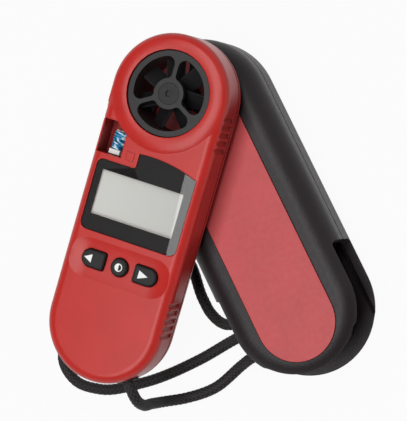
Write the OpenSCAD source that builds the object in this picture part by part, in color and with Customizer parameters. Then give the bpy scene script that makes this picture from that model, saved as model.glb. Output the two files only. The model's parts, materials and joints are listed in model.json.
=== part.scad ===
// Handheld weather meter with a slip-on cover and a wrist cord.
// The cover lies on its back on the table and carries the row's frame:
// +Y runs to its closed end, +Z is up, and the origin is the middle of its back.
// The meter lies flat across the cover's front, turned to the left.
// Pieces of the meter are drawn in its own frame: tail at y = 0, back face at z = 0.

/* [Meter body] */
// Length of the meter from tail to head
body_l = 122; // [116:1:130]
// Width of the meter
body_w = 42; // [41:0.5:45]
// Thickness of the meter
body_t = 18; // [17.5:0.5:20]
// Rounding of the back's edges
edge_r = 5; // [4:0.5:5.5]
// Rounding of the face's edges
face_r = 3.5; // [2.5:0.25:4]
// Wall thickness of the two housings
wall = 1.8; // [1.6:0.1:2]
// Height of the parting line above the back
seam_z = 6; // [5.8:0.1:6.4]
// Thickness of the seal in the parting line
seal_t = 0.6; // [0.4:0.1:0.8]

/* [Wind fan] */
// Distance of the fan's axis from the top of the head
fan_inset = 20.5; // [20:0.5:21.5]
// Outer radius of the fan cartridge
cart_r = 14.5; // [13.5:0.25:15]
// Gap between the cartridge and the tunnel it slides in
cart_gap = 0.3; // [0.2:0.05:0.4]
// Wall thickness of the cartridge ring
cart_wall = 1.9; // [1.5:0.1:2.2]
// Height of the raised boss round the fan
boss_h = 1; // [0.6:0.1:1.4]
// Number of fan blades
blades = 7; // [5:1:9]
// Pitch of the blades
blade_pitch = 52; // [45:1:60]
// Gap between the blade tips and the ring
tip_gap = 0.7; // [0.5:0.1:1.2]
// Radius of the fan shaft's pivots
pivot_r = 0.5; // [0.4:0.05:0.7]
// Running clearance of the pivots in the jewels
pivot_gap = 0.05; // [0.03:0.01:0.08]

/* [Display] */
// Distance of the display window from the sides of the body
win_side = 3; // [2.5:0.25:4]
// Distance from the fan's axis down to the window's lower edge
win_drop = 52; // [50.5:0.5:53.5]
// Height of the low left part of the window
win_h = 24.6; // [23:0.2:26]
// Extra height of the right part of the window
win_step = 5.4; // [4:0.2:6]
// Width of the window's frame beside the liquid crystal panel
lcd_side = 2.5; // [2.5:0.25:4]
// Height of the visible part of the liquid crystal panel
lcd_h = 16; // [14:0.5:17]

/* [Buttons] */
// Distance from the window's lower edge down to the button row
btn_drop = 9; // [8:0.25:9.5]
// Spacing of the buttons
btn_step = 9.8; // [9.4:0.1:10.4]
// Width of a side button
btn_w = 8.4; // [7.6:0.1:8.8]
// Height of a side button
btn_h = 6; // [5:0.1:6.4]
// Radius of the middle button
btn_r = 3; // [2.6:0.1:3.2]
// Gap round a button
btn_gap = 0.3; // [0.2:0.05:0.4]
// Travel of a button
btn_travel = 0.7; // [0.5:0.05:0.9]

/* [Battery] */
// Radius of the coin cell
cell_r = 10; // [8:0.5:10]
// Thickness of the coin cell
cell_t = 3.2; // [2.5:0.1:3.2]
// Height of the battery door's axis above the tail
door_y = 30; // [28:0.5:32]
// Running clearance of the battery door
door_gap = 0.08; // [0.05:0.01:0.1]

/* [Cover] */
// Length of the cover
cover_l = 126; // [125:1:134]
// Room between meter and cover on each side
cover_fit = 0.5; // [0.4:0.1:1]
// Thickness of the cover's side walls
cover_side = 3; // [2.4:0.2:3.6]
// Thickness of the cover's front and back
cover_skin = 2; // [1.8:0.1:2.4]
// Rounding of the cover's shoulders
cover_r = 8; // [7:0.5:8.5]
// Rounding of the cover's back edges
cover_back_r = 4; // [3:0.5:5]
// Length of the cut-away sides at the mouth
notch_l = 39; // [36:1:41]
// Height of the edge left standing below each cut-away side
notch_z = 4; // [4:0.25:5]
// Height of the edge left above each cut-away side
notch_top = 2.6; // [2.4:0.1:3]
// Half width of the panel on the cover
panel_w2 = 14; // [12:0.5:15]
// Distance from the mouth's tip to the panel
panel_in = 6.5; // [5:0.5:9]

/* [Wrist cord] */
// Radius of the cord
cord_r = 2; // [1.5:0.1:2.1]
// Side of the tail where the cord leaves, as an angle from the middle
cord_turn = 34; // [33:1:38]
// Height of the cord's hole above the back
cord_z = 10.2; // [9.8:0.1:10.6]

/* [Resting pose] */
// Turn of the meter from the cover's long axis
meter_turn = -44; // [-46:0.5:-42]
// Sideways place of the tail
tail_x = -70.5; // [-72:0.5:-69]
// Lengthwise place of the tail
tail_y = -30; // [-32:0.5:-28]
// Room between the meter's back and the cover's panel
rest_gap = 0.4; // [0.2:0.1:1]

/* [Hidden] */
$fn = 64;
hair = 0.05;
eps = 0.01;
red = [0.78, 0.22, 0.2];
black = [0.07, 0.07, 0.075];
dark = [0.2, 0.19, 0.2];
white = [0.9, 0.9, 0.88];
metal = [0.75, 0.75, 0.76];

// Heights in the meter, from the back up
seam_lo = seam_z - seal_t / 2;
seam_hi = seam_z + seal_t / 2;
seal_in = 0.35;
rib_w = 4;
lap = 0.5;
skin_lap = 0.3;
face_in = body_t - wall;
board_t = 1;
board_z = 9;
board_top = board_z + board_t;
board_side = 4;
board_y0 = 14;
board_gap = 0.6;

// Fan
fan_y = body_l - fan_inset;
tunnel_r = cart_r + cart_gap;
tube_r = tunnel_r + wall;
lip_h = 0.5;
lip_r = tunnel_r - 1;
cart_z0 = lip_h + hair;
cart_z1 = body_t + 0.2;
spider_t = 2.2;
cart_in = cart_r - cart_wall;
hub_r = 5.3;
cap_r = 3.7;
cap_t = 1.2;
spoke_w = 1.5;
spoke_hub_r = 1.6;
spoke_ring_r = 2.4;
spoke_lap = 0.4;
spoke_cut = 18;
jewel_r = 1.4;
jewel_t = 1.6;
jewel_up = 0.6;
blade_r = cart_in - tip_gap;
imp_hub_r = 4.2;
imp_z0 = cart_z0 + spider_t + 1;
imp_z1 = cart_z1 - spider_t - 1;
shaft_r = 0.9;
shaft_low = 0.3;
shaft_top = 0.9;
pivot_end = 0.1;
blade_t = 0.8;
blade_chord = 6.5;
blade_drop = 2.6;
socket_r = 1.2;
socket_d = 0.8;
magnet_r = 2.4;
magnet_t = 2;
pickup = [6, 2.4, 4];
board_x = body_w / 2 - board_side;
board_y1 = fan_y - tube_r - 2 * board_gap;
boss_r = 8.6;
boss_mid = tunnel_r + 1.4;
boss_out = boss_mid + sqrt(boss_r * boss_r - (boss_r - boss_h) * (boss_r - boss_h));

// One edge of a spoke, with a round fillet at the hub and at the ring
spoke_hub_at = [spoke_w / 2 + spoke_hub_r,
    sqrt(pow(hub_r + spoke_hub_r, 2) - pow(spoke_w / 2 + spoke_hub_r, 2))];
spoke_ring_at = [spoke_w / 2 + spoke_ring_r,
    sqrt(pow(cart_in - spoke_ring_r, 2) - pow(spoke_w / 2 + spoke_ring_r, 2))];
function bend(c, r, a0, a1) = [for (k = [0:6]) let (a = a0 + (a1 - a0) * k / 6) c + r * [cos(a), sin(a)]];
spoke_edge = concat(
    [unit(spoke_hub_at) * (hub_r - spoke_lap)],
    bend(spoke_hub_at, spoke_hub_r, 180 + atan2(spoke_hub_at[1], spoke_hub_at[0]) - spoke_cut, 180),
    bend(spoke_ring_at, spoke_ring_r, 180, atan2(spoke_ring_at[1], spoke_ring_at[0]) + spoke_cut),
    [unit(spoke_ring_at) * (cart_in + spoke_lap)]);

// Display
lens_t = 1;
mask_t = 0.2;
mask_lap = 0.25;
lens_fit = 0.1;
win_z = body_t - lens_t - mask_t;
win_w2 = body_w / 2 - win_side;
win_y0 = fan_y - win_drop;
lcd_y = win_y0 + 5.4;
lcd_x = -0.4;
lcd_w = 2 * (win_w2 - lcd_side);
lcd_t = 1.6;
lcd_rim = 1.6;
lcd_sink = 0.8;
lcd_z = face_in - lcd_sink - lcd_t;
arch_r = 48;
win_mid = -4;
win_r = 2.6;
win_top_r = 2;
win_cut = 5;
win_reach = 3;
win_in_r = 1;
win_tip_r = 0.6;
lcd_wall = 0.8;
strip_w = 1.8;
lcd_mid = lcd_y + lcd_h / 2;
chip_w = 10;
chip_t = 1.6;
chip_room = 3;
part_w = 4;
part_l = 6;
part_t = 2;
part_in = 2;

// Buttons
btn_y = win_y0 - btn_drop;
dish_side = 2;
dish_half = 6.8;
dish_d = 1.2;
dish_r = (dish_half * dish_half + dish_d * dish_d) / (2 * dish_d);
dish_x = body_w / 2 - dish_side - dish_half;
pad_z = face_in - 1;
pad_side = 4.5;
pad_h = 12;
flange_t = 0.8;
flange_w = 0.8;
flange_z = pad_z - hair - flange_t;
dome_t = 0.6;
dome_r = 2.4;
btn_top = body_t + 0.25;
key_rim = 0.35;
key_rim_in = 0.3;
key_corner = 0.9;
stem_r = 1.6;
stem_z = board_top + dome_t + btn_travel + hair;

// Battery well and its turning door
door_r = cell_r + 2;
door_t = 2.4;
door_bore = door_r + door_gap;
lug = 0.8;
lug_t = 0.6;
lug_room = 0.15;
lug_arc = 24;
lug_turn = 60;
well_r = door_bore + lug + lug_room + 1.2;
ring_r = 0.45;
ring_z = 0.6;
slot_l = 14;
slot_w = 1.8;
slot_d = 1;
cell_z = door_t + 0.2;
cell_gap = 0.2;
cell_step = 0.6;
cell_rim = 1;
contact_w = 3;
contact_l = 4;
contact_x = 5.5;

// Screws: two in the tail, two between buttons and display
tail_screw = [body_w / 2 - 7.8, 15.5];
face_screw = [body_w / 2 - 4.6, win_y0 - 0.5];
screw_at = [for (side = [-1, 1], s = [tail_screw, face_screw]) [side * s[0], s[1]]];
post_r = 2.3;
screw_r = 0.8;
screw_head_r = 1.7;
screw_head_t = 1.2;
screw_l = 10;
screw_in = 0.3;
screw_gap = 0.2;
screw_wall = 0.4;
cross_l = 2;
cross_w = 0.5;
cross_d = 0.8;

// Sensor bay between the window and the fan, behind a thin outer wall
bay_w = 10.7;
bay_x = bay_w - body_w / 2;
bay_rim = 1.9;
bay_y0 = win_y0 + win_h + bay_rim;
bay_y1 = fan_y - 13.9;
bay_z = 7.8;
bay_wall = 1.2;
bay_skin = 1;
bay_skin_z = body_t - 1.8;

// Sensor coil on its carrier
carrier = [6, 8, 1.6];
carrier_head = [4, 1.6, 6.6];
carrier_play = 0.3;
coil_r = 2;
coil_wire = 0.4;
coil_n = 7;
coil_step = 0.9;
coil_x = bay_x - 4.2;
coil_y = bay_y0 + carrier_play + carrier_head[1] + coil_wire + hair;
coil_z = bay_z + carrier[2] + coil_r + coil_wire + hair;

// Grip grooves in the side walls
groove_r = 0.9;
groove_n = 5;
groove_step = 2.7;
groove_tail = 28;
groove_head = fan_y - 8.5;

// Cover
cavity_w = body_w + 2 * cover_fit;
cavity_h = body_t + boss_h + 2 * cover_fit;
cavity_r = cover_r - cover_skin;
cavity_back_r = cover_back_r - cover_skin;
cover_w = cavity_w + 2 * cover_side;
cover_t = cavity_h + 2 * cover_skin;
mouth_y = -cover_l / 2;
notch_y = mouth_y + notch_l;
notch_r = 1.5;
shell_z = cover_t / 2;
shell_line = 0.35;
panel_t = 0.9;
panel_sink = 0.7;
panel_fit = 0.15;

// Resting pose: the meter's back lies just above the cover's panel
back_z = cover_t + panel_t - panel_sink + rest_gap;
along = [-sin(meter_turn), cos(meter_turn)];
across = [cos(meter_turn), sin(meter_turn)];
// A point of the meter's frame, in the row's frame
function row_point(p) = [tail_x + p[0] * across[0] + p[1] * along[0],
    tail_y + p[0] * across[1] + p[1] * along[1], back_z + p[2]];

// Cord: out of the tail, into the mouth of the cover, through the sleeve and round the loop
exit_dir = [sin(cord_turn), -cos(cord_turn)];
function tail_point(r) = [r * exit_dir[0], body_w / 2 + r * exit_dir[1], cord_z];
stop_r = 3.2;
stop_in = body_w / 2 - 7;
stop_out = body_w / 2 - 3.6;
cord_sides = 10;
cord_fit = 0.1;
grommet_r = cord_r + 0.9;
grommet_rim = grommet_r + 0.9;
grommet_t = 0.8;
grommet_in = 2.6;
rim_in = 0.4;
hole_in = 6;
hole_out = 5;
low = cord_r + 0.15;
over = notch_z + cord_r + 0.9;
sleeve_x0 = -13;
sleeve_l = 8;
sleeve_y = -35.5;
sleeve_t = 0.6;
lane = cord_r + 0.15;
inside = cover_skin + lane + sleeve_t + 0.2;
wall_x = -cover_w / 2;
stem_route = [
    row_point(tail_point(stop_out + hair)),
    row_point(tail_point(body_w / 2 + 1)),
    [-60.9, -41.9, 32.4],
    [-62, -44.8, 25.4],
    [-62.2, -45.1, 17],
    [-60.4, -46, 8.6],
    [-54.6, -47.9, 3],
    [-44, -49.2, low],
    [wall_x - 6, -46.4, over - 3.5],
    [wall_x - 1.5, -45.9, over - 0.9],
    [wall_x + 3, -45.9, over],
    [-6, -53.2, inside],
    [2.4, -55.4, inside],
    [8.8, -53, inside],
    [11.6, -46.6, inside],
    [9, -40.2, inside],
    [2.6, -37.6, inside],
    [sleeve_x0 + sleeve_l + 0.5, sleeve_y - lane, inside],
];
loop_route = [
    [sleeve_x0 - 0.5, sleeve_y - lane, inside],
    [wall_x + 2.5, -37.5, over],
    [wall_x - 1.5, -37.3, over - 0.9],
    [wall_x - 6, -37.2, over - 3.5],
    [-44, -37.8, low],
    [-68.4, -35.8, low],
    [-84, -30.8, low],
    [-91, -24, low],
    [-92.2, -16.4, low],
    [-87, -8, low],
    [-70, 2, low],
    [-53, 10, low],
    [-42.6, 12.6, low],
    [-34.4, 7, low],
    [-32, -6, low],
    [-33.4, -19.4, low],
    [-32.9, -25.4, low],
    [-30.2, -30.2, over - 3.3],
    [wall_x - 0.7, -32.6, over - 0.7],
    [wall_x + 6, -33.1, over - 0.5],
    [sleeve_x0 - 0.5, sleeve_y + lane, inside],
    [sleeve_x0 + sleeve_l - 1.5, sleeve_y + lane, inside],
];
route = concat(stem_route, loop_route);
ring_steps = 2;
ring_n = (len(route) - 1) * ring_steps;
// Smooth line through the route, kept on or above the table
function at(i) = route[i];
function leg(i) = norm(at(i + 1) - at(i));
function lean(i) = i == 0 ? unit(at(1) - at(0))
    : i == len(route) - 1 ? unit(at(i) - at(i - 1))
    : unit((at(i) - at(i - 1)) * leg(i) / leg(i - 1) + (at(i + 1) - at(i)) * leg(i - 1) / leg(i));
function curve(i, t) = t == 0 ? at(i)
    : at(i) * (1 - 3 * t * t + 2 * t * t * t) + lean(i) * leg(i) * t * (1 - t) * (1 - t)
    + at(i + 1) * (3 * t * t - 2 * t * t * t) - lean(i + 1) * leg(i) * t * t * (1 - t);
function laid(p) = [p[0], p[1], max(p[2], low)];
function ring_mid(k) = laid(curve(floor(k / ring_steps), (k % ring_steps) / ring_steps));
function unit(v) = v / norm(v);
function heading(k) = unit(ring_mid(min(ring_n, k + 1)) - ring_mid(max(0, k - 1)));
// Direction that the cord never runs along, from which its rings are turned
ring_from = [0.5, -0.5, 0.7];
function side_of(d) = unit(cross(ring_from, d));
function ring(k) = let (d = heading(k), s = side_of(d), u = cross(d, s))
    [for (j = [0:cord_sides - 1]) ring_mid(k)
        + cord_r * (s * cos(360 * j / cord_sides) + u * sin(360 * j / cord_sides))];

// Moves the meter's own frame to where it rests
module in_meter()
{
    translate([tail_x, tail_y, back_z])
        rotate([0, 0, meter_turn])
            children();
}

// Outline with a rounded corner at each [x, y, radius]
function corner(p, i) = let (
        n = len(p),
        c = [p[i][0], p[i][1]],
        a = unit([p[(i + n - 1) % n][0], p[(i + n - 1) % n][1]] - c),
        b = unit([p[(i + 1) % n][0], p[(i + 1) % n][1]] - c),
        half = acos(max(-1, min(1, a * b))) / 2,
        mid = c + unit(a + b) * p[i][2] / sin(half),
        from = c + a * p[i][2] / tan(half) - mid,
        to = c + b * p[i][2] / tan(half) - mid,
        t0 = atan2(from[1], from[0]),
        turn = (atan2(to[1], to[0]) - t0 + 540) % 360 - 180)
    [for (k = [0:6]) mid + p[i][2] * [cos(t0 + turn * k / 6), sin(t0 + turn * k / 6)]];
module outline(p)
{
    polygon([for (i = [0:len(p) - 1]) each corner(p, i)]);
}

// Rounded rectangle standing on y = 0, with its own rounding below and above
module slab_section(w, t, r, top)
{
    translate([r - w / 2, 0])
        square([w - 2 * r, t - top]);
    translate([-w / 2, r])
        square([w, t - r - top]);
    translate([top - w / 2, r])
        square([w - 2 * top, t - r]);
    for (side = [-1, 1]) {
        translate([side * (w / 2 - r), r])
            circle(r);
        translate([side * (w / 2 - top), t - top])
            circle(top);
    }
}

// Half of that rectangle, for a round end
module half_section(w, t, r, top)
{
    intersection() {
        slab_section(w, t, r, top);
        translate([0, -1])
            square([w, t + 2]);
    }
}

// Slab with a round end at the head and, if asked, at the tail
module pill(l, w, t, r, top, tail = true)
{
    y0 = tail ? w / 2 : 0;
    straight = l - w / 2 - y0;
    translate([0, y0, 0]) {
        translate([0, 0, t])
            rotate([-90, 0, 0])
                linear_extrude(straight)
                    slab_section(w, t, top, r);
        translate([0, straight, 0])
            rotate_extrude(angle = 180)
                half_section(w, t, r, top);
        if (tail)
            rotate([0, 0, 180])
                rotate_extrude(angle = 180)
                    half_section(w, t, r, top);
    }
}

// The meter's outer form, shrunk by an inset
module body_form(inset = 0)
{
    translate([0, inset, inset])
        pill(body_l - 2 * inset, body_w - 2 * inset, body_t - 2 * inset, edge_r - inset, face_r - inset);
}

// Everything between two heights
module layer(z0, z1)
{
    translate([-200, -200, z0])
        cube([400, 400, z1 - z0]);
}

// Upright cylinder between two heights
module post(x, y, r, z0, z1)
{
    translate([x, y, z0])
        cylinder(r = r, h = z1 - z0);
}

// Display window: low on the left, stepped up and arched on the right
module window_shape(grow = 0)
{
    intersection() {
        outline([
            [-win_w2 - grow, win_y0 - grow, win_r],
            [win_w2 + grow, win_y0 - grow, win_r],
            [win_w2 + grow, win_y0 + win_h + win_step - win_r, win_top_r],
            [win_w2 - win_cut + grow, win_y0 + win_h + win_step + win_reach, win_top_r],
            [win_mid - grow, win_y0 + win_h + win_step + win_reach, win_tip_r],
            [win_mid - grow, win_y0 + win_h + grow, win_in_r],
            [-win_w2 - grow, win_y0 + win_h + grow, win_top_r],
        ]);
        translate([0.5, win_y0 + win_h + win_step + grow - arch_r])
            circle(arch_r, $fn = 180);
    }
}

module lcd_opening(grow = 0)
{
    translate([lcd_x - lcd_w / 2 - grow, lcd_y - grow])
        square([lcd_w + 2 * grow, lcd_h + 2 * grow]);
}

// Side button: round towards the edge of the meter, flat towards the middle
module side_key(side, grow = 0)
{
    w = btn_w / 2 + grow;
    h = btn_h / 2 + grow;
    outline([
        [-side * w, h, key_corner],
        [side * w, h, h - eps],
        [side * w, -h, h - eps],
        [-side * w, -h, key_corner],
    ]);
}

module key_shape(i, grow = 0)
{
    translate([i * btn_step, btn_y])
        if (i == 0)
            circle(btn_r + grow);
        else
            side_key(i, grow);
}

// Scooped dish round the buttons: a lying roller with round ends, sunk into the face
module dish()
{
    translate([0, btn_y, body_t + dish_r - dish_d])
        rotate([0, 90, 0])
            rotate_extrude()
                intersection() {
                    union() {
                        for (side = [-1, 1])
                            translate([0, side * dish_x])
                                circle(dish_r);
                        translate([-dish_r, -dish_x])
                            square([2 * dish_r, 2 * dish_x]);
                    }
                    translate([0, -dish_x - 2 * dish_r])
                        square([2 * dish_r, 2 * dish_x + 4 * dish_r]);
                }
}

// Raised round boss that frames the fan and runs into the head's rounded edge
module boss()
{
    intersection() {
        pill(body_l, body_w, body_t + boss_h, edge_r, face_r);
        translate([0, fan_y, 0])
            rotate_extrude()
                intersection() {
                    translate([boss_mid, body_t + boss_h - boss_r])
                        circle(boss_r, $fn = 128);
                    translate([tunnel_r - 1, face_in - 2])
                        square([10, 10]);
                }
    }
}

// Bay that lets air reach the sensor, cut round the boss
module bay_shape(x0)
{
    difference() {
        translate([x0, bay_y0])
            square([bay_x - x0, bay_y1 - bay_y0]);
        translate([0, fan_y])
            circle(boss_out);
    }
}

// Row of grip grooves in both side walls
module grooves(y_mid)
{
    for (side = [-1, 1], i = [0:groove_n - 1])
        post(side * (body_w / 2 + 0.3), y_mid + (i - (groove_n - 1) / 2) * groove_step,
            groove_r, seam_hi + 1, body_t - face_r / 2);
}

// Anything along the cord's way out of the tail, from one radius to another
module tail_rod(r, r0, r1)
{
    translate([0, body_w / 2, cord_z])
        rotate([0, 0, cord_turn])
            rotate([90, 0, 0])
                translate([0, 0, r0])
                    cylinder(r = r, h = r1 - r0);
}

module front_housing()
{
    color(red)
        in_meter()
            difference() {
                union() {
                    difference() {
                        intersection() {
                            body_form();
                            layer(seam_hi, body_t + 1);
                        }
                        body_form(wall);
                    }
                    post(0, fan_y, tube_r, seam_hi, body_t - lap);
                    boss();
                    for (s = screw_at)
                        post(s[0], s[1], post_r, seam_hi, face_in + lap);
                    translate([0, 0, face_in - lcd_sink])
                        linear_extrude(lcd_sink + skin_lap)
                            lcd_opening(lcd_wall);
                    intersection() {
                        body_form(skin_lap);
                        translate([pad_side - body_w / 2, btn_y - pad_h / 2, pad_z])
                            cube([body_w - 2 * pad_side, pad_h, wall]);
                    }
                    intersection() {
                        body_form(skin_lap);
                        translate([-body_w / 2, bay_y0 - bay_wall, seam_hi])
                            cube([body_w / 2 + bay_x + bay_wall, bay_y1 - bay_y0 + 2 * bay_wall,
                                body_t - seam_hi]);
                    }
                }
                post(0, fan_y, tunnel_r, 0, body_t + 5);
                translate([0, 0, win_z])
                    linear_extrude(5)
                        window_shape();
                translate([0, 0, face_in - 2])
                    linear_extrude(6)
                        lcd_opening();
                dish();
                for (i = [-1:1])
                    translate([0, 0, pad_z - 1])
                        linear_extrude(6)
                            key_shape(i, btn_gap);
                translate([0, 0, bay_z])
                    linear_extrude(body_t)
                        bay_shape(bay_skin - body_w / 2);
                translate([0, 0, bay_skin_z])
                    linear_extrude(body_t)
                        bay_shape(-body_w);
                grooves(groove_tail);
                grooves(groove_head);
                for (s = screw_at)
                    post(s[0], s[1], screw_r, 0, screw_l + 1);
                tail_rod(grommet_r, body_w / 2 - hole_in, body_w / 2 + hole_out);
                tail_rod(grommet_rim + hair, body_w / 2 - rim_in, body_w / 2 + hole_out);
            }
}

module rear_housing()
{
    color(red)
        in_meter()
            difference() {
                union() {
                    difference() {
                        intersection() {
                            body_form();
                            layer(-1, seam_lo);
                        }
                        body_form(wall);
                    }
                    post(0, fan_y, tube_r, lap, seam_lo);
                    post(0, door_y, well_r, lap, seam_lo);
                    for (s = screw_at)
                        post(s[0], s[1], post_r + screw_wall, lap, seam_lo);
                }
                post(0, fan_y, tunnel_r, lip_h, body_t);
                post(0, fan_y, lip_r, -1, body_t);
                post(0, door_y, door_bore, -1, door_t + hair);
                post(0, door_y, door_bore + lug + lug_room, door_t - lug_t - lug_room, door_t + hair);
                post(0, door_y, cell_r + cell_gap, 0, body_t);
                door_lugs(lug_turn, lug_room, -1);
                for (s = screw_at) {
                    post(s[0], s[1], screw_r + screw_gap, -1, body_t);
                    post(s[0], s[1], screw_head_r + screw_gap, -1, screw_head_t + screw_in);
                }
            }
}

// The two bayonet lugs of the battery door, turned and grown for the way in
module door_lugs(turn, grow, z0)
{
    intersection() {
        difference() {
            post(0, door_y, door_bore + lug - hair + grow, z0, door_t);
            post(0, door_y, door_r - 1, z0 - 1, door_t + 1);
        }
        for (side = [0, 180])
            translate([0, door_y, z0])
                rotate([0, 0, turn + side])
                    translate([0, -(lug_arc / 10 + grow), 0])
                        cube([door_r + 5, 2 * (lug_arc / 10 + grow), door_t - z0]);
    }
}

module housing_seal()
{
    color(black)
        in_meter()
            difference() {
                union() {
                    intersection() {
                        difference() {
                            body_form(seal_in);
                            body_form(wall);
                        }
                        layer(seam_lo, seam_hi);
                    }
                    post(0, fan_y, tube_r, seam_lo, seam_hi);
                    translate([-rib_w / 2, fan_y + tunnel_r + lap, seam_lo])
                        cube([rib_w, body_l - wall - fan_y - tunnel_r, seal_t]);
                }
                post(0, fan_y, tunnel_r, 0, body_t);
            }
}

module housing_screws()
{
    color(metal)
        in_meter()
            for (s = screw_at)
                difference() {
                    union() {
                        post(s[0], s[1], screw_r, screw_in, screw_l);
                        post(s[0], s[1], screw_head_r, screw_in, screw_in + screw_head_t);
                    }
                    for (a = [0, 90])
                        translate([s[0], s[1], 0])
                            rotate([0, 0, a])
                                cube([cross_l, cross_w, 2 * cross_d], center = true);
                }
}

module display_lens()
{
    color([0.55, 0.58, 0.6, 0.4])
        in_meter()
            translate([0, 0, win_z + mask_t])
                linear_extrude(lens_t)
                    window_shape(-lens_fit);
}

module display_mask()
{
    color(black)
        in_meter()
            translate([0, 0, win_z])
                linear_extrude(mask_t)
                    difference() {
                        window_shape(-lens_fit);
                        lcd_opening(-mask_lap);
                    }
}

module lcd_panel()
{
    color([0.72, 0.74, 0.7])
        in_meter()
            translate([0, 0, lcd_z])
                linear_extrude(lcd_t)
                    lcd_opening(lcd_rim);
}

module lcd_connectors()
{
    color(dark)
        in_meter()
            for (y = [lcd_y - lcd_rim + 0.2, lcd_y + lcd_h + lcd_rim - 0.2 - strip_w])
                translate([lcd_x - lcd_w / 2 + 1, y, board_top])
                    cube([lcd_w - 2, strip_w, lcd_z - board_top]);
}

module circuit_board()
{
    color([0.1, 0.35, 0.18])
        in_meter()
            difference() {
                translate([0, 0, board_z])
                    linear_extrude(board_t)
                        outline([
                            [-board_x, board_y0, 4],
                            [board_x, board_y0, 4],
                            [board_x, board_y1, 1],
                            [bay_x + bay_wall + board_gap, board_y1, 1],
                            [bay_x + bay_wall + board_gap, bay_y0 - bay_wall - board_gap, 0.5],
                            [-board_x, bay_y0 - bay_wall - board_gap, 1],
                        ]);
                for (s = screw_at)
                    post(s[0], s[1], post_r + 0.3, 0, body_t);
            }
}

module board_parts()
{
    color(black)
        in_meter()
            translate([0, 0, board_top]) {
                translate([-chip_w / 2, lcd_mid - chip_w / 2, 0])
                    cube([chip_w, chip_w, chip_t]);
                translate([chip_w / 2 + chip_room, lcd_mid - part_l / 2, 0])
                    cube([part_w, part_l, chip_t]);
                translate([-chip_w / 2 - chip_room - part_w, lcd_mid - part_l / 2, 0])
                    cube([part_w, part_l, part_t]);
                translate([chip_room, board_y0 + part_in, 0])
                    cube([part_l, part_w, chip_t]);
                translate([-chip_room - part_l, board_y0 + part_in, 0])
                    cube([part_l, part_l, chip_t]);
            }
}

module dome_switches()
{
    color(metal)
        in_meter()
            for (i = [-1:1])
                post(i * btn_step, btn_y, dome_r, board_top, board_top + dome_t);
}

module wind_pickup()
{
    color(dark)
        in_meter()
            translate([-pickup[0] / 2, board_y1 - pickup[1] - board_gap, board_top])
                cube(pickup);
}

module sensor_carrier()
{
    color(white)
        in_meter()
            translate([coil_x, bay_y0 + carrier_play, bay_z])
                union() {
                    translate([-carrier[0] / 2, 0, 0])
                        cube(carrier);
                    translate([-carrier_head[0] / 2, 0, 0])
                        cube(carrier_head);
                }
}

module sensor_element()
{
    color([0.05, 0.45, 0.75])
        in_meter()
            translate([coil_x, coil_y, coil_z])
                rotate([-90, 0, 0])
                    union() {
                        cylinder(r = coil_r, h = (coil_n - 1) * coil_step);
                        for (i = [0:coil_n - 1])
                            translate([0, 0, i * coil_step])
                                rotate_extrude()
                                    translate([coil_r, 0])
                                        circle(coil_wire);
                    }
}

module coin_cell()
{
    color(metal)
        in_meter() {
            post(0, door_y, cell_r, cell_z, cell_z + cell_t - cell_step);
            post(0, door_y, cell_r - cell_rim, cell_z + cell_t - cell_step, cell_z + cell_t);
        }
}

module battery_contacts()
{
    color([0.8, 0.68, 0.4])
        in_meter()
            for (side = [-1, 1])
                translate([side * contact_x - contact_w / 2, door_y - contact_l / 2, cell_z + cell_t])
                    cube([contact_w, contact_l, board_z - cell_z - cell_t]);
}

module battery_door()
{
    color(dark)
        in_meter()
            difference() {
                union() {
                    post(0, door_y, door_r, hair, door_t);
                    door_lugs(0, 0, door_t - lug_t);
                }
                translate([-slot_l / 2, door_y - slot_w / 2, -slot_d])
                    cube([slot_l, slot_w, 2 * slot_d]);
                translate([0, door_y, ring_z])
                    rotate_extrude()
                        translate([door_r - 2 * ring_r, 0])
                            square([2, 2 * ring_r]);
            }
}

module door_ring()
{
    color(black)
        in_meter()
            translate([0, door_y, ring_z + ring_r])
                rotate_extrude()
                    translate([door_r - ring_r, 0])
                        circle(ring_r - eps);
}

// One button: cap, retaining flange under the face, and stem over its switch
module key(i)
{
    color(black)
        in_meter()
            union() {
                translate([0, 0, flange_z])
                    linear_extrude(btn_top - key_rim - flange_z)
                        key_shape(i);
                translate([0, 0, btn_top - key_rim])
                    linear_extrude(key_rim)
                        key_shape(i, -key_rim_in);
                translate([0, 0, flange_z])
                    linear_extrude(flange_t)
                        key_shape(i, flange_w);
                post(i * btn_step, btn_y, stem_r, stem_z, flange_z + eps);
            }
}

module button_left()
{
    key(-1);
}

module button_power()
{
    key(0);
}

module button_right()
{
    key(1);
}

// Hub and three spokes of one side of the cartridge
module spokes(z0)
{
    post(0, 0, hub_r, z0, z0 + spider_t);
    for (a = [0:120:240])
        rotate([0, 0, a])
            translate([0, 0, z0])
                linear_extrude(spider_t)
                    polygon(concat(
                        spoke_edge,
                        [[0, cart_in + spoke_lap]],
                        [for (i = [len(spoke_edge) - 1:-1:0]) [-spoke_edge[i][0], spoke_edge[i][1]]]));
}

// Part of the cartridge's round wall
module cart_tube(z0, z1)
{
    difference() {
        post(0, 0, cart_r, z0, z1);
        post(0, 0, cart_in, z0 - 1, z1 + 1);
    }
}

module fan_ring()
{
    color(dark)
        in_meter()
            translate([0, fan_y, 0])
                difference() {
                    union() {
                        cart_tube(cart_z0 + spider_t, cart_z1);
                        spokes(cart_z1 - spider_t);
                    }
                    post(0, 0, jewel_r, 0, body_t + 5);
                    post(0, 0, cap_r, cart_z1 - cap_t, body_t + 5);
                }
}

module fan_rear_spider()
{
    color(dark)
        in_meter()
            translate([0, fan_y, 0])
                difference() {
                    union() {
                        cart_tube(cart_z0, cart_z0 + spider_t);
                        spokes(cart_z0);
                    }
                    post(0, 0, jewel_r, 0, body_t);
                }
}

module fan_cap()
{
    color(dark)
        in_meter()
            translate([0, fan_y, cart_z1 - cap_t])
                difference() {
                    cylinder(r = cap_r - hair, h = cap_t);
                    translate([0, 0, cap_t - socket_d])
                        cylinder(r = socket_r, h = 2 * socket_d, $fn = 6);
                }
}

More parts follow.
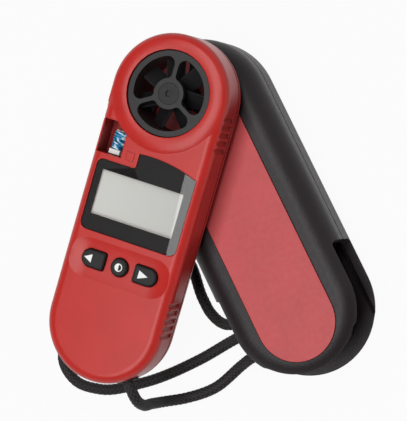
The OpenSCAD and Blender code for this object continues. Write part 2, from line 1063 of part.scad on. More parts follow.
// Pivot bearings pressed into both hubs
module fan_jewels()
{
    color([0.75, 0.1, 0.2])
        in_meter()
            for (z = [cart_z0 + spider_t - jewel_t, cart_z1 - spider_t - jewel_up])
                difference() {
                    post(0, fan_y, jewel_r, z, z + jewel_t);
                    post(0, fan_y, pivot_r + pivot_gap, z - 1, z + jewel_t + 1);
                }
}

module impeller()
{
    color([0.13, 0.13, 0.14])
        in_meter()
            translate([0, fan_y, 0])
                difference() {
                    union() {
                        post(0, 0, imp_hub_r, imp_z0, imp_z1);
                        intersection() {
                            post(0, 0, blade_r, imp_z0, imp_z1);
                            for (k = [0:blades - 1])
                                rotate([0, 0, k * 360 / blades])
                                    translate([imp_hub_r - 1, 0, imp_z1 - blade_drop])
                                        rotate([90 - blade_pitch, 0, 0])
                                            translate([0, -blade_chord / 2, -blade_t / 2])
                                                cube([blade_r, blade_chord, blade_t]);
                        }
                    }
                    post(0, 0, shaft_r, 0, body_t);
                    post(0, 0, magnet_r, imp_z0 - 1, imp_z0 + magnet_t);
                }
}

module impeller_shaft()
{
    color(metal)
        in_meter()
            translate([0, fan_y, 0])
                union() {
                    post(0, 0, shaft_r, cart_z0 + spider_t + shaft_low, cart_z1 - spider_t - shaft_top);
                    post(0, 0, pivot_r, cart_z0 + spider_t - jewel_t + shaft_low,
                        cart_z1 - spider_t - shaft_top + jewel_t - pivot_end);
                }
}

module impeller_magnet()
{
    color([0.4, 0.4, 0.42])
        in_meter()
            difference() {
                post(0, fan_y, magnet_r, imp_z0, imp_z0 + magnet_t);
                post(0, fan_y, shaft_r, 0, body_t);
            }
}

module cord_grommet()
{
    color(black)
        in_meter()
            difference() {
                union() {
                    tail_rod(grommet_r, body_w / 2 - grommet_in, body_w / 2);
                    tail_rod(grommet_rim, body_w / 2 - rim_in, body_w / 2 - rim_in + grommet_t);
                }
                tail_rod(cord_r + cord_fit, body_w / 2 - hole_in, body_w / 2 + hole_out);
            }
}

module cord_stop()
{
    color(dark)
        in_meter()
            tail_rod(stop_r, stop_in, stop_out);
}

module wrist_cord()
{
    color(black)
        polyhedron(
            points = [for (k = [0:ring_n]) each ring(k)],
            faces = concat(
                [[for (j = [0:cord_sides - 1]) j]],
                [for (k = [0:ring_n - 1], j = [0:cord_sides - 1])
                    let (a = k * cord_sides + j, b = k * cord_sides + (j + 1) % cord_sides)
                        [a, a + cord_sides, b + cord_sides, b]],
                [[for (j = [cord_sides - 1:-1:0]) ring_n * cord_sides + j]]));
}

// Oval sleeve that closes the wrist loop
module cord_sleeve()
{
    color(dark)
        translate([sleeve_x0, sleeve_y, inside])
            rotate([90, 0, 90])
                linear_extrude(sleeve_l)
                    difference() {
                        union() {
                            square([2 * lane, 2 * (lane + sleeve_t)], center = true);
                            for (s = [-1, 1])
                                translate([s * lane, 0])
                                    circle(lane + sleeve_t);
                        }
                        for (s = [-1, 1])
                            translate([s * lane, 0])
                                circle(cord_r + cord_fit);
                    }
}

// The cover's outer form, shrunk by an inset
module cover_form(inset = 0)
{
    translate([0, mouth_y + inset, inset])
        pill(cover_l - 2 * inset, cover_w - 2 * inset, cover_t - 2 * inset,
            cover_back_r - inset, cover_r - inset);
}

// The room for the meter, open at the mouth
module cover_room()
{
    translate([0, mouth_y - 5, cover_skin])
        pill(cover_l + 5 - cover_side, cavity_w, cavity_h, cavity_back_r, cavity_r, tail = false);
}

// The cut-away sides at the mouth
module cover_notch()
{
    rotate([90, 0, 90])
        translate([0, 0, -cover_w])
            linear_extrude(2 * cover_w)
                outline([
                    [mouth_y - 10, notch_z, 1],
                    [notch_y, notch_z, notch_r],
                    [notch_y, cover_t - notch_top, notch_r],
                    [mouth_y - 10, cover_t - notch_top, 1],
                ]);
}

// Fine line where the two shells meet
module shell_seam()
{
    difference() {
        intersection() {
            cover_form(-1);
            layer(shell_z - shell_line, shell_z + shell_line);
        }
        cover_form(shell_line);
    }
}

module panel_shape(grow = 0)
{
    y0 = mouth_y + panel_in + panel_w2;
    y1 = -mouth_y - panel_in - panel_w2;
    for (y = [y0, y1])
        translate([0, y])
            circle(panel_w2 + grow, $fn = 96);
    translate([-panel_w2 - grow, y0])
        square([2 * (panel_w2 + grow), y1 - y0]);
}

module cover_shell(z0, z1)
{
    difference() {
        intersection() {
            cover_form();
            layer(z0, z1);
        }
        cover_room();
        cover_notch();
        shell_seam();
        translate([0, 0, cover_t - panel_sink])
            linear_extrude(5)
                panel_shape();
    }
}

module cover_front()
{
    color(black)
        cover_shell(shell_z, cover_t + 1);
}

module cover_rear()
{
    color(black)
        cover_shell(-1, shell_z);
}

module cover_panel()
{
    color(red)
        translate([0, 0, cover_t - panel_sink])
            linear_extrude(panel_t)
                panel_shape(-panel_fit);
}

front_housing();
rear_housing();
housing_seal();
housing_screws();
display_lens();
display_mask();
lcd_panel();
lcd_connectors();
circuit_board();
board_parts();
dome_switches();
wind_pickup();
sensor_carrier();
sensor_element();
coin_cell();
battery_contacts();
battery_door();
door_ring();
button_left();
button_power();
button_right();
fan_ring();
fan_rear_spider();
fan_cap();
fan_jewels();
impeller();
impeller_shaft();
impeller_magnet();
cord_grommet();
cord_stop();
wrist_cord();
cord_sleeve();
cover_front();
cover_rear();
cover_panel();
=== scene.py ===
"""Looks of the handheld weather meter: camera, cord, printed signs, materials, light and floor."""

import json
import math

import bmesh
import bpy
from mathutils import Euler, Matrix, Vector


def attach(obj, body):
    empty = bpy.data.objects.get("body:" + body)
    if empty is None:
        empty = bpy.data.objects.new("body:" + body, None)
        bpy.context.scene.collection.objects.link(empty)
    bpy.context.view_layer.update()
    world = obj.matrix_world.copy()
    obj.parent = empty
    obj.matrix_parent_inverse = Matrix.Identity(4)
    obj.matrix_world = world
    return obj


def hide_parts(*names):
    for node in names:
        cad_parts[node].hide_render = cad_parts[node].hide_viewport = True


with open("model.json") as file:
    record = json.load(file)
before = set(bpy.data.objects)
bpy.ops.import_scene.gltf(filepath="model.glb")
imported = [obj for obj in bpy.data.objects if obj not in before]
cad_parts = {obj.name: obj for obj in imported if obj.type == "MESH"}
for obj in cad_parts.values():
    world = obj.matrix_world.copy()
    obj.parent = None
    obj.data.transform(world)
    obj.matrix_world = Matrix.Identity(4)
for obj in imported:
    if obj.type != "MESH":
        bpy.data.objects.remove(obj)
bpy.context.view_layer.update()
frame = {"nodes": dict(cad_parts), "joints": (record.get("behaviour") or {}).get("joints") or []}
nodes = frame["nodes"]

MM = 0.001

# The meter's own frame, read from its joints: tail at y = 0, back at z = 0, in millimetres
FAN_PLACE = Vector((0, 101.5, 9.4))
joints = {joint["name"]: joint for joint in frame["joints"]}
fan_axis = Vector(joints["impeller_spin"]["axis"]).normalized()
fan_spot = Vector(joints["impeller_spin"]["pos_m"])
door_spot = Vector(joints["battery_door_turn"]["pos_m"])
along = fan_spot - door_spot
along = (along - along.dot(fan_axis) * fan_axis).normalized()
across = along.cross(fan_axis)


def meter_point(x, y, z):
    """A point of the meter's own frame, given in millimetres, in the row frame."""
    step = (Vector((x, y, z)) - FAN_PLACE) * MM
    return fan_spot + across * step.x + along * step.y + fan_axis * step.z


# Camera at the photograph's viewing angle, with its lens and sensor in millimetres
CAMERA_SPOT = Vector((166, -84.6, 607.6)) * MM
CAMERA_TURN = Euler([math.radians(angle) for angle in (-0.029, 18.902, -26.892)])
LENS = 153.92
SENSOR = 36
NEAREST_SEEN = 10 * MM


def make_camera():
    data = bpy.data.cameras.new("camera")
    data.sensor_fit = "VERTICAL"
    data.sensor_height = SENSOR
    data.lens = LENS
    data.clip_start = NEAREST_SEEN
    camera = bpy.data.objects.new("camera", data)
    camera.location = CAMERA_SPOT
    camera.rotation_euler = CAMERA_TURN
    bpy.context.scene.collection.objects.link(camera)
    bpy.context.scene.camera = camera


def new_piece(name, body, material):
    """An empty mesh piece that rides on a body."""
    piece = bpy.data.objects.new(name, bpy.data.meshes.new(name))
    bpy.context.scene.collection.objects.link(piece)
    piece.data.materials.append(material)
    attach(piece, body)
    return piece


def fill_mesh(piece, points, faces, smooth):
    """Gives a piece its points and faces, with all faces turned outward."""
    mesh = bmesh.new()
    corners = [mesh.verts.new(point) for point in points]
    for face in faces:
        mesh.faces.new([corners[i] for i in face])
    bmesh.ops.recalc_face_normals(mesh, faces=mesh.faces)
    for face in mesh.faces:
        face.smooth = smooth
    mesh.to_mesh(piece.data)
    mesh.free()


# Detail of the materials, with sizes and heights in millimetres
CLOUD_SIZE = 9
RUB_SIZE = 1.6
# Reach and samples of the painted shade in grooves and corners
CREVICE_REACH = 5
CREVICE_SAMPLES = 8
EDGE_SAMPLES = 6
WORN_GAIN = 1.25
WORN_LIFT = 0.03
ROUGHNESS_SPREAD = 0.07
METAL_LINE = 0.15
METAL_PATCH = 2.5
METAL_RELIEF = 0.01
METAL_DULLING = 0.12
SMEAR_SIZE = 6
LCD_REFLECTION_SIDES = (-14, 12)
LCD_TOOTH = 0.3
LCD_RELIEF = 0.01
THREAD_SIZE = 0.25
THREAD_RELIEF = 0.05
COIL_STRAND = 0.9
COIL_SLANT = 0.35
COIL_RELIEF = 0.1


# Shader nodes
def shader(name, **plain):
    """A new material and its Principled shader, with plain values set on the shader's own sockets."""
    material = bpy.data.materials.new(name)
    material.use_nodes = True
    principled = material.node_tree.nodes["Principled BSDF"]
    for socket, value in plain.items():
        principled.inputs[socket.replace("_", " ")].default_value = value
    return material.node_tree, principled, material


def node(tree, kind, inputs=None, **settings):
    """A new node, its settings, and its inputs as plain values or as links from other nodes."""
    made = tree.nodes.new("ShaderNode" + kind)
    for key, value in settings.items():
        setattr(made, key, value)
    for socket, value in (inputs or {}).items():
        if isinstance(value, bpy.types.NodeSocket):
            tree.links.new(value, made.inputs[socket])
        else:
            made.inputs[socket].default_value = value
    return made


def noise(tree, place, size, detail=3):
    """Noise with features of about that size in metres."""
    return node(tree, "TexNoise", {"Vector": place, "Scale": 1 / size, "Detail": detail}).outputs["Fac"]


def ranged(tree, value, low, high, start=0.3, end=0.7):
    """A value between start and end, spread from low to high."""
    inputs = {"Value": value, "From Min": start, "From Max": end, "To Min": low, "To Max": high}
    return node(tree, "MapRange", inputs).outputs["Result"]


def product(tree, one, other):
    """Two values multiplied."""
    return node(tree, "Math", {0: one, 1: other}, operation="MULTIPLY").outputs[0]


def dot_product(tree, one, other):
    """How far one vector reaches along another."""
    return node(tree, "VectorMath", {0: one, 1: other}, operation="DOT_PRODUCT").outputs["Value"]


def tinted(tree, colour, shade):
    """A colour made darker or lighter by a shade around 1."""
    return node(tree, "HueSaturation", {"Color": colour, "Value": shade}).outputs["Color"]


def mixed(tree, share, first, second):
    """The first colour with a share of the second."""
    return node(tree, "Mix", {"Factor": share, 6: first, 7: second}, data_type="RGBA").outputs[2]


def link_surface(tree, principled, colour, roughness, height, depth, **bump):
    """Links a colour, a roughness and a bump of that depth in millimetres to a shader."""
    relief = node(tree, "Bump", {"Height": height, "Distance": depth * MM, **bump})
    tree.links.new(colour, principled.inputs["Base Color"])
    tree.links.new(roughness, principled.inputs["Roughness"])
    tree.links.new(relief.outputs["Normal"], principled.inputs["Normal"])


def moulded(name, colour, roughness, grain, depth, edge=0.25, tone=0.05, wear=0.25, painted_shade=0, **plain):
    """Moulded plastic or rubber: cloudy tone, fine grain, and softened edges that are a little worn.

    grain is the grain's size, depth its height and edge the radius of the edges, in millimetres.
    tone is how much the shade varies and wear how far the edges pale; the last share darkens
    the plastic in grooves and corners as painted shade.
    """
    tree, principled, material = shader(name, **plain)
    place = node(tree, "TexCoord").outputs["Object"]
    cloud = noise(tree, place, CLOUD_SIZE * MM)
    speck = noise(tree, place, grain * MM, detail=2)
    rub = noise(tree, place, RUB_SIZE * MM, detail=5)
    soft = node(tree, "Bevel", {"Radius": edge * MM}, samples=EDGE_SAMPLES).outputs["Normal"]
    flat = node(tree, "NewGeometry").outputs["Normal"]
    on_edge = ranged(tree, dot_product(tree, soft, flat), 1, 0, start=0.8, end=0.98)
    worn = product(tree, on_edge, ranged(tree, rub, 0, wear))
    shade = ranged(tree, cloud, 1 - tone, 1 + tone)
    # Painted shade: darker in grooves, recesses and corners, by ambient occlusion
    if painted_shade:
        reach = {"Distance": CREVICE_REACH * MM}
        open_sky = node(tree, "AmbientOcclusion", reach, samples=CREVICE_SAMPLES).outputs["AO"]
        shade = product(tree, shade, ranged(tree, open_sky, 1 - painted_shade, 1, start=0.3, end=0.85))
    pale = [WORN_GAIN * channel + WORN_LIFT for channel in colour[:3]] + [1]
    shown = mixed(tree, worn, tinted(tree, colour, shade), pale)
    spread = ROUGHNESS_SPREAD * roughness
    rough = ranged(tree, rub, roughness - spread, roughness + spread)
    link_surface(tree, principled, shown, rough, speck, depth, Strength=0.6, Normal=soft)
    return material


def metal(name, colour, roughness):
    """Turned or stamped metal with fine lines and dull patches."""
    tree, principled, material = shader(name, Metallic=1)
    place = node(tree, "TexCoord").outputs["Object"]
    lines = noise(tree, place, METAL_LINE * MM)
    dull = noise(tree, place, METAL_PATCH * MM, detail=5)
    shown = tinted(tree, colour, ranged(tree, dull, 0.8, 1.05))
    rough = ranged(tree, dull, roughness + METAL_DULLING, roughness)
    link_surface(tree, principled, shown, rough, lines, METAL_RELIEF, Strength=0.5)
    return material


def clear_window(name):
    """Clear acrylic for the camera, which lets all other light through to what lies under it."""
    tree, principled, material = shader(name, Transmission_Weight=1, IOR=1.49, Base_Color=CLEAR)
    place = node(tree, "TexCoord").outputs["Object"]
    smear = noise(tree, place, SMEAR_SIZE * MM, detail=6)
    tree.links.new(ranged(tree, smear, 0, 0.02), principled.inputs["Roughness"])
    seen = node(tree, "LightPath").outputs["Is Camera Ray"]
    through = node(tree, "BsdfTransparent").outputs[0]
    either = node(tree, "MixShader", {0: seen, 1: through, 2: principled.outputs[0]}).outputs[0]
    tree.links.new(either, tree.nodes["Material Output"].inputs["Surface"])
    return material


def lcd_face(name):
    """Reflective liquid crystal panel: pale grey with a painted reflection that makes it a little
    lighter on its left, and a fine tooth.
    """
    tree, principled, material = shader(name, Specular_IOR_Level=0.2)
    place = node(tree, "TexCoord").outputs["Object"]
    left, right = [meter_point(x, FAN_PLACE.y, 0).dot(across) for x in LCD_REFLECTION_SIDES]
    # Painted reflection: lighter on the left side, fading towards the right
    shade = ranged(tree, dot_product(tree, place, across), 1.06, 0.95, start=left, end=right)
    shown = tinted(tree, LCD_GREY, shade)
    tooth = noise(tree, place, LCD_TOOTH * MM)
    rough = ranged(tree, tooth, 0.5, 0.6)
    link_surface(tree, principled, shown, rough, tooth, LCD_RELIEF, Strength=0.3)
    return material


def braided(name):
    """Braided nylon: painted shade in the gaps between strands and a painted highlight on their tops,
    with a thread-fine grain and a slight sheen.
    """
    tree, principled, material = shader(name, Sheen_Weight=0.04, Sheen_Roughness=0.4,
                                        Specular_IOR_Level=0.3)
    place = node(tree, "TexCoord").outputs["Object"]
    threads = noise(tree, place, THREAD_SIZE * MM)
    raised = node(tree, "Attribute", attribute_name="strand").outputs["Fac"]
    # Painted shade in the gaps between strands and a painted highlight on their tops
    painted_strand_shading = ranged(tree, raised, 0.15, 1.5, start=0.3, end=1)
    on_thread = ranged(tree, threads, 0.6, 1.4)
    shown = tinted(tree, CORD_BLACK, product(tree, painted_strand_shading, on_thread))
    rough = ranged(tree, threads, 0.55, 0.75)
    link_surface(tree, principled, shown, rough, threads, THREAD_RELIEF, Strength=0.7)
    return material


def coiled(name):
    """Fine strands wound side by side: dark and light blue with white ones between."""
    tree, principled, material = shader(name, Specular_IOR_Level=0.4)
    place = node(tree, "TexCoord").outputs["Object"]
    down = dot_product(tree, place, along)
    drift = product(tree, dot_product(tree, place, across), COIL_SLANT)
    row = node(tree, "Math", {0: down, 1: drift}, operation="ADD").outputs[0]
    spot = node(tree, "CombineXYZ", {"X": row, "Y": drift}).outputs[0]
    strand = noise(tree, spot, COIL_STRAND * MM, detail=1)
    light = ranged(tree, strand, 0, 1, start=0.4, end=0.47)
    bright = ranged(tree, strand, 0, 1, start=0.56, end=0.6)
    shown = mixed(tree, bright, mixed(tree, light, COIL_DARK, SENSOR_BLUE), COIL_WHITE)
    rough = ranged(tree, strand, 0.3, 0.45)
    link_surface(tree, principled, shown, rough, strand, COIL_RELIEF, Strength=0.6)
    return material


# Colours, as linear light
WHITE = (1, 1, 1, 1)
CLEAR = (0.97, 0.98, 0.97, 1)
RED = (0.51, 0.024, 0.019, 1)
PANEL_RED = (0.5, 0.045, 0.05, 1)
COVER_BLACK = (0.015, 0.0105, 0.012, 1)
FAN_GREY = (0.02, 0.018, 0.019, 1)
BLADE_BLACK = (0.01, 0.009, 0.01, 1)
RUBBER_BLACK = (0.011, 0.0102, 0.0106, 1)
MASK_BLACK = (0.014, 0.0125, 0.0125, 1)
LCD_GREY = (0.6, 0.6, 0.57, 1)
SIGN_WHITE = (0.86, 0.86, 0.85, 1)
SENSOR_BLUE = (0.03, 0.3, 0.55, 1)
COIL_DARK = (0.01, 0.07, 0.15, 1)
COIL_WHITE = (0.72, 0.84, 0.88, 1)
BOARD_GREEN = (0.02, 0.11, 0.05, 1)
STEEL = (0.62, 0.62, 0.63, 1)
BRASS = (0.75, 0.55, 0.25, 1)
JEWEL_RED = (0.5, 0.02, 0.06, 1)
CORD_BLACK = (0.02, 0.0175, 0.0175, 1)

# The red housing has painted shade in its grooves, recesses and corners
red_plastic = moulded("red_plastic", RED, roughness=0.3, grain=0.22, depth=0.012, edge=0.5, wear=0.1,
                      painted_shade=0.6, Specular_IOR_Level=0.32)
panel_plastic = moulded("panel_plastic", PANEL_RED, roughness=0.5, grain=0.3, depth=0.008)
cover_plastic = moulded("cover_plastic", COVER_BLACK, roughness=0.44, grain=0.6, depth=0.08, edge=0.4,
                        Specular_IOR_Level=0.3)
fan_plastic = moulded("fan_plastic", FAN_GREY, roughness=0.5, grain=0.3, depth=0.012,
                      Specular_IOR_Level=0.35)
blade_plastic = moulded("blade_plastic", BLADE_BLACK, roughness=0.45, grain=0.3, depth=0.012, wear=0,
                        Specular_IOR_Level=0.3)
rubber = moulded("rubber", RUBBER_BLACK, roughness=0.55, grain=0.25, depth=0.015, edge=0.6, wear=0.1,
                 Specular_IOR_Level=0.3)
mask_ink = moulded("mask_ink", MASK_BLACK, roughness=0.5, grain=0.2, depth=0.004, wear=0,
                   Specular_IOR_Level=0.1)
white_plastic = moulded("white_plastic", SIGN_WHITE, roughness=0.45, grain=0.3, depth=0.01)
sign_ink = moulded("sign_ink", SIGN_WHITE, roughness=0.55, grain=0.15, depth=0.006, edge=0.02)
sensor_coil = coiled("sensor_coil")
board_green = moulded("board_green", BOARD_GREEN, roughness=0.4, grain=0.5, depth=0.02)
chip_black = moulded("chip_black", RUBBER_BLACK, roughness=0.5, grain=0.2, depth=0.01)
jewel = moulded("jewel", JEWEL_RED, roughness=0.15, grain=0.3, depth=0.002)
steel = metal("steel", STEEL, roughness=0.28)
brass = metal("brass", BRASS, roughness=0.3)
window = clear_window("window")
lcd = lcd_face("lcd")
cord_braid = braided("cord_braid")

FINISHES = [
    (red_plastic, ["front_housing", "rear_housing"]),
    (panel_plastic, ["cover_panel"]),
    (cover_plastic, ["cover_front", "cover_rear", "battery_door", "cord_sleeve", "cord_stop"]),
    (fan_plastic, ["fan_ring", "fan_rear_spider"]),
    (blade_plastic, ["impeller", "fan_cap"]),
    (rubber, ["button_left", "button_power", "button_right"]),
    (rubber, ["housing_seal", "door_ring", "cord_grommet"]),
    (mask_ink, ["display_mask"]),
    (window, ["display_lens"]),
    (lcd, ["lcd_panel"]),
    (white_plastic, ["sensor_carrier"]),
    (sensor_coil, ["sensor_element"]),
    (board_green, ["circuit_board"]),
    (chip_black, ["board_parts", "wind_pickup", "lcd_connectors"]),
    (steel, ["housing_screws", "dome_switches", "coin_cell", "impeller_shaft", "impeller_magnet"]),
    (brass, ["battery_contacts"]),
    (jewel, ["fan_jewels"]),
]


def finish_nodes():
    for material, names in FINISHES:
        for name in names:
            nodes[name].data.materials.clear()
            nodes[name].data.materials.append(material)


# Wrist cord: out of the tail, into the mouth of the cover, through the sleeve and round the loop
# Sizes are in millimetres; LOW, OVER and INSIDE are heights of the cord's middle line, on the table,
# over the cover's wall and inside the cover
CORD_R = 2
CORD_TURN = math.radians(34)
CORD_Z = 10.2
TAIL_R = 21
CORD_START = 17.45
CORD_OUT = 22
LOW = 2.15
OVER = 6.9
LANE = 2.15
INSIDE = 4.95
WALL_X = -24.5
SLEEVE_X = -13
SLEEVE_L = 8
SLEEVE_Y = -35.5
RING_FROM = Vector((0.5, -0.5, 0.7))
STRANDS = 8
CELL = 1.8
BRAID_DEPTH = 0.3
CORD_SIDES = 44
CORD_STEP = 0.3
LEG_STEPS = 40


def tail_point(reach):
    """A point on the cord's way out of the tail, in the row frame, in millimetres."""
    spot = meter_point(reach * math.sin(CORD_TURN), TAIL_R - reach * math.cos(CORD_TURN), CORD_Z)
    return tuple(spot / MM)


CORD_ROUTE = [Vector(point) for point in [
    tail_point(CORD_START), tail_point(CORD_OUT),
    (-60.9, -41.9, 32.4), (-62, -44.8, 25.4), (-62.2, -45.1, 17), (-60.4, -46, 8.6), (-54.6, -47.9, 3),
    (-44, -49.2, LOW), (WALL_X - 6, -46.4, OVER - 3.5), (WALL_X - 1.5, -45.9, OVER - 0.9),
    (WALL_X + 3, -45.9, OVER), (-6, -53.2, INSIDE), (2.4, -55.4, INSIDE), (8.8, -53, INSIDE),
    (11.6, -46.6, INSIDE), (9, -40.2, INSIDE), (2.6, -37.6, INSIDE),
    (SLEEVE_X + SLEEVE_L + 0.5, SLEEVE_Y - LANE, INSIDE), (SLEEVE_X - 0.5, SLEEVE_Y - LANE, INSIDE),
    (WALL_X + 2.5, -37.5, OVER), (WALL_X - 1.5, -37.3, OVER - 0.9), (WALL_X - 6, -37.2, OVER - 3.5),
    (-44, -37.8, LOW), (-68.4, -35.8, LOW), (-84, -30.8, LOW), (-91, -24, LOW), (-92.2, -16.4, LOW),
    (-87, -8, LOW), (-70, 2, LOW), (-53, 10, LOW), (-42.6, 12.6, LOW), (-34.4, 7, LOW), (-32, -6, LOW),
    (-33.4, -19.4, LOW), (-32.9, -25.4, LOW), (-30.2, -30.2, OVER - 3.3),
    (WALL_X - 0.7, -32.6, OVER - 0.7), (WALL_X + 6, -33.1, OVER - 0.5),
    (SLEEVE_X - 0.5, SLEEVE_Y + LANE, INSIDE), (SLEEVE_X + SLEEVE_L - 1.5, SLEEVE_Y + LANE, INSIDE),
]]


def lean(i):
    """Direction of the smooth line at a point of the route."""
    back = CORD_ROUTE[i] - CORD_ROUTE[max(i - 1, 0)]
    ahead = CORD_ROUTE[min(i + 1, len(CORD_ROUTE) - 1)] - CORD_ROUTE[i]
    if not back.length or not ahead.length:
        return (back + ahead).normalized()
    return (back * ahead.length / back.length + ahead * back.length / ahead.length).normalized()


def smooth_point(i, t):
    """A point of the smooth line on one leg of the route, kept on or above the table."""
    start, end = CORD_ROUTE[i], CORD_ROUTE[i + 1]
    leg = (end - start).length
    point = start * (1 - 3 * t * t + 2 * t ** 3) + end * (3 * t * t - 2 * t ** 3)
    point += lean(i) * leg * t * (1 - t) ** 2 - lean(i + 1) * leg * t * t * (1 - t)
    point.z = max(point.z, LOW)
    return point


def even_points(line, step):
    """Points along a line at even steps."""
    ends = [0]
    for start, end in zip(line, line[1:]):
        ends.append(ends[-1] + (end - start).length)
    count = round(ends[-1] / step)
    points = []
    leg = 0
    for k in range(count + 1):
        run = ends[-1] * k / count
        while leg < len(line) - 2 and ends[leg + 1] < run:
            leg += 1
        points.append(line[leg].lerp(line[leg + 1], (run - ends[leg]) / (ends[leg + 1] - ends[leg])))
    return points, ends[-1]


def strand_height(turn, run):
    """Height of the braid's surface, from 0 in a gap to 1 on top of a strand."""
    one = turn * STRANDS + run / CELL
    other = turn * STRANDS - run / CELL
    wide, long = one % 1, other % 1
    if (math.floor(one) + math.floor(other)) % 2:
        wide, long = long, wide
    return math.sqrt((1 - (2 * wide - 1) ** 2) * (1 - (2 * long - 1) ** 4))


def make_cord():
    """A braided tube of rings along the route, with each ring's first side square to RING_FROM."""
    legs = range(len(CORD_ROUTE) - 1)
    line = [smooth_point(i, k / LEG_STEPS) for i in legs for k in range(LEG_STEPS)]
    line, length = even_points(line + [CORD_ROUTE[-1]], CORD_STEP)
    points = []
    heights = []
    for k, middle in enumerate(line):
        ahead = (line[min(k + 1, len(line) - 1)] - line[max(k - 1, 0)]).normalized()
        side = RING_FROM.cross(ahead).normalized()
        over = ahead.cross(side)
        for j in range(CORD_SIDES):
            turn = j / CORD_SIDES
            heights.append(strand_height(turn, k * CORD_STEP))
            radius = CORD_R - BRAID_DEPTH * (1 - heights[-1])
            out = side * math.cos(math.tau * turn) + over * math.sin(math.tau * turn)
            points.append((middle + out * radius) * MM)
    faces = [range(CORD_SIDES), range(len(points) - CORD_SIDES, len(points))]
    for k in range(len(line) - 1):
        for j in range(CORD_SIDES):
            here = k * CORD_SIDES
            after = (j + 1) % CORD_SIDES
            faces.append((here + j, here + after, here + CORD_SIDES + after, here + CORD_SIDES + j))
    cord = new_piece("braided_wrist_cord", "meter", cord_braid)
    fill_mesh(cord, points, faces, smooth=True)
    cord.data.attributes.new("strand", "FLOAT", "POINT").data.foreach_set("value", heights)
    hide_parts("wrist_cord")


# Printed signs on the buttons and the raised tile beside the sensor bay, in the meter's own frame
KEY_Y = 40.5
KEY_TOP = 18.25
FACE_Z = 18
INK = 0.05
ARROW_H = 1.45
LEFT_ARROW = (-13, -10.2)
RIGHT_ARROW = (11, 7.5)
SIGN_R = 1.4
SIGN_IN = 1.05
ARC_STEPS = 24
TILE_X = (-8.6, -5.6)
TILE_Y = (76, 79)
TILE_T = 0.15


def arc(x, y, radius, start, end):
    """Points of an arc between two angles in degrees."""
    angles = [math.radians(start + (end - start) * k / ARC_STEPS) for k in range(ARC_STEPS + 1)]
    return [(x + radius * math.cos(angle), y + radius * math.sin(angle)) for angle in angles]


def make_plate(name, body, material, outlines, low, high):
    """Thin plates with these outlines, between two heights of the meter's own frame."""
    points = []
    faces = []
    for outline in outlines:
        count = len(outline)
        first = len(points)
        points += [meter_point(x, y, z) for z in (low, high) for x, y in outline]
        faces += [range(first, first + count), range(first + count, first + 2 * count)]
        for i in range(count):
            after = (i + 1) % count
            faces.append((first + i, first + after, first + count + after, first + count + i))
    piece = new_piece(name, body, material)
    fill_mesh(piece, points, faces, smooth=False)


def make_signs():
    for body, (tip, base) in {"button_left": LEFT_ARROW, "button_right": RIGHT_ARROW}.items():
        arrow = [(tip, KEY_Y), (base, KEY_Y - ARROW_H), (base, KEY_Y + ARROW_H)]
        make_plate(body + "_arrow", body, sign_ink, [arrow], KEY_TOP, KEY_TOP + INK)
    half_disc = arc(0, KEY_Y, SIGN_R, 90, 270)
    half_ring = arc(0, KEY_Y, SIGN_R, -90, 90) + arc(0, KEY_Y, SIGN_IN, 90, -90)
    make_plate("button_power_sign", "button_power", sign_ink, [half_disc, half_ring],
               KEY_TOP, KEY_TOP + INK)


def make_tile():
    (x0, x1), (y0, y1) = TILE_X, TILE_Y
    outline = [(x0, y0), (x1, y0), (x1, y1), (x0, y1)]
    make_plate("bay_tile", "meter", red_plastic, [outline],
               FACE_Z - INK, FACE_Z + TILE_T)


# Floor, world and lamps, with places and sizes in metres
FLOOR_Z = -0.2 * MM
FLOOR_SIZE = 3
FLOOR_GREY = (0.5, 0.5, 0.5, 1)
# Share of plain white in the floor where it is seen; the rest takes the lamps' light and the shadow
FLOOR_WHITE = 0.94
# Strength of the world's light, and the heights of view between which its white fades to that
AMBIENT = 0.12
HORIZON = 0.1
CEILING = 0.5
SOFTBOX_SPOT = (-0.1325, -0.0175, 1.04)
SOFTBOX_TURN = -40.7
SOFTBOX_SIZE = (0.55, 1.4)
SOFTBOX_POWER = 11
FILL_SPOT = (1.05, 0.25, 0.85)
FILL_SIZE = (1, 0.8)
FILL_POWER = 1.7


def seen_ray(tree):
    """1 for rays from the camera, a reflection or clear material, which show the white background."""
    path = node(tree, "LightPath").outputs
    seen = path["Is Camera Ray"]
    for kind in ("Is Glossy Ray", "Is Transmission Ray"):
        seen = node(tree, "Math", {0: seen, 1: path[kind]}, operation="MAXIMUM").outputs[0]
    return seen


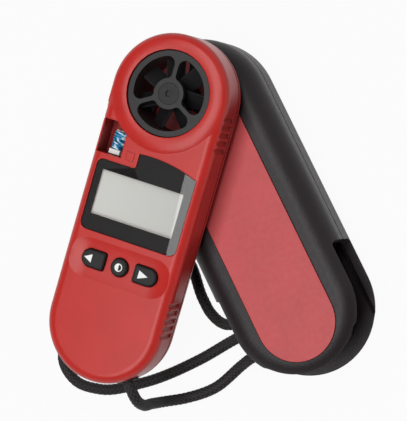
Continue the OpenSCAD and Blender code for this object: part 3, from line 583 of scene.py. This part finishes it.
def make_floor():
    tree, principled, material = shader("floor", Base_Color=FLOOR_GREY, Roughness=0.9,
                                        Specular_IOR_Level=0)
    glow = node(tree, "Emission", {"Color": WHITE, "Strength": 1}).outputs[0]
    share = product(tree, seen_ray(tree), FLOOR_WHITE)
    either = node(tree, "MixShader", {0: share, 1: principled.outputs[0], 2: glow}).outputs[0]
    tree.links.new(either, tree.nodes["Material Output"].inputs["Surface"])
    floor = bpy.data.objects.new("floor", bpy.data.meshes.new("floor"))
    half = FLOOR_SIZE / 2
    corners = [(-half, -half), (half, -half), (half, half), (-half, half)]
    fill_mesh(floor, [(x, y, FLOOR_Z) for x, y in corners], [(0, 1, 2, 3)], smooth=False)
    floor.data.materials.append(material)
    bpy.context.scene.collection.objects.link(floor)


def make_world():
    """A white horizon for rays that show the background, and a dim even light for all others."""
    world = bpy.data.worlds.new("studio")
    world.use_nodes = True
    tree = world.node_tree
    background = tree.nodes["Background"]
    background.inputs["Color"].default_value = WHITE
    way = node(tree, "TexCoord").outputs["Generated"]
    height = node(tree, "SeparateXYZ", {0: way}).outputs["Z"]
    white = ranged(tree, height, 1, AMBIENT, start=HORIZON, end=CEILING)
    strength = ranged(tree, seen_ray(tree), AMBIENT, white, start=0, end=1)
    tree.links.new(strength, background.inputs["Strength"])
    bpy.context.scene.world = world


def make_lamp(name, spot, turn, size, power):
    """A soft rectangular lamp."""
    data = bpy.data.lights.new(name, "AREA")
    data.shape = "RECTANGLE"
    data.size, data.size_y = size
    data.energy = power
    lamp = bpy.data.objects.new(name, data)
    lamp.location = spot
    lamp.rotation_euler = turn
    bpy.context.scene.collection.objects.link(lamp)


def make_lamps():
    facing_down = Euler((0, 0, math.radians(SOFTBOX_TURN)))
    make_lamp("softbox", SOFTBOX_SPOT, facing_down, SOFTBOX_SIZE, SOFTBOX_POWER)
    facing_origin = Vector(FILL_SPOT).to_track_quat("Z", "Y").to_euler()
    make_lamp("fill", FILL_SPOT, facing_origin, FILL_SIZE, FILL_POWER)


make_camera()
make_cord()
finish_nodes()
make_signs()
make_tile()
make_floor()
make_world()
make_lamps()
bpy.context.scene.view_settings.view_transform = "Standard"
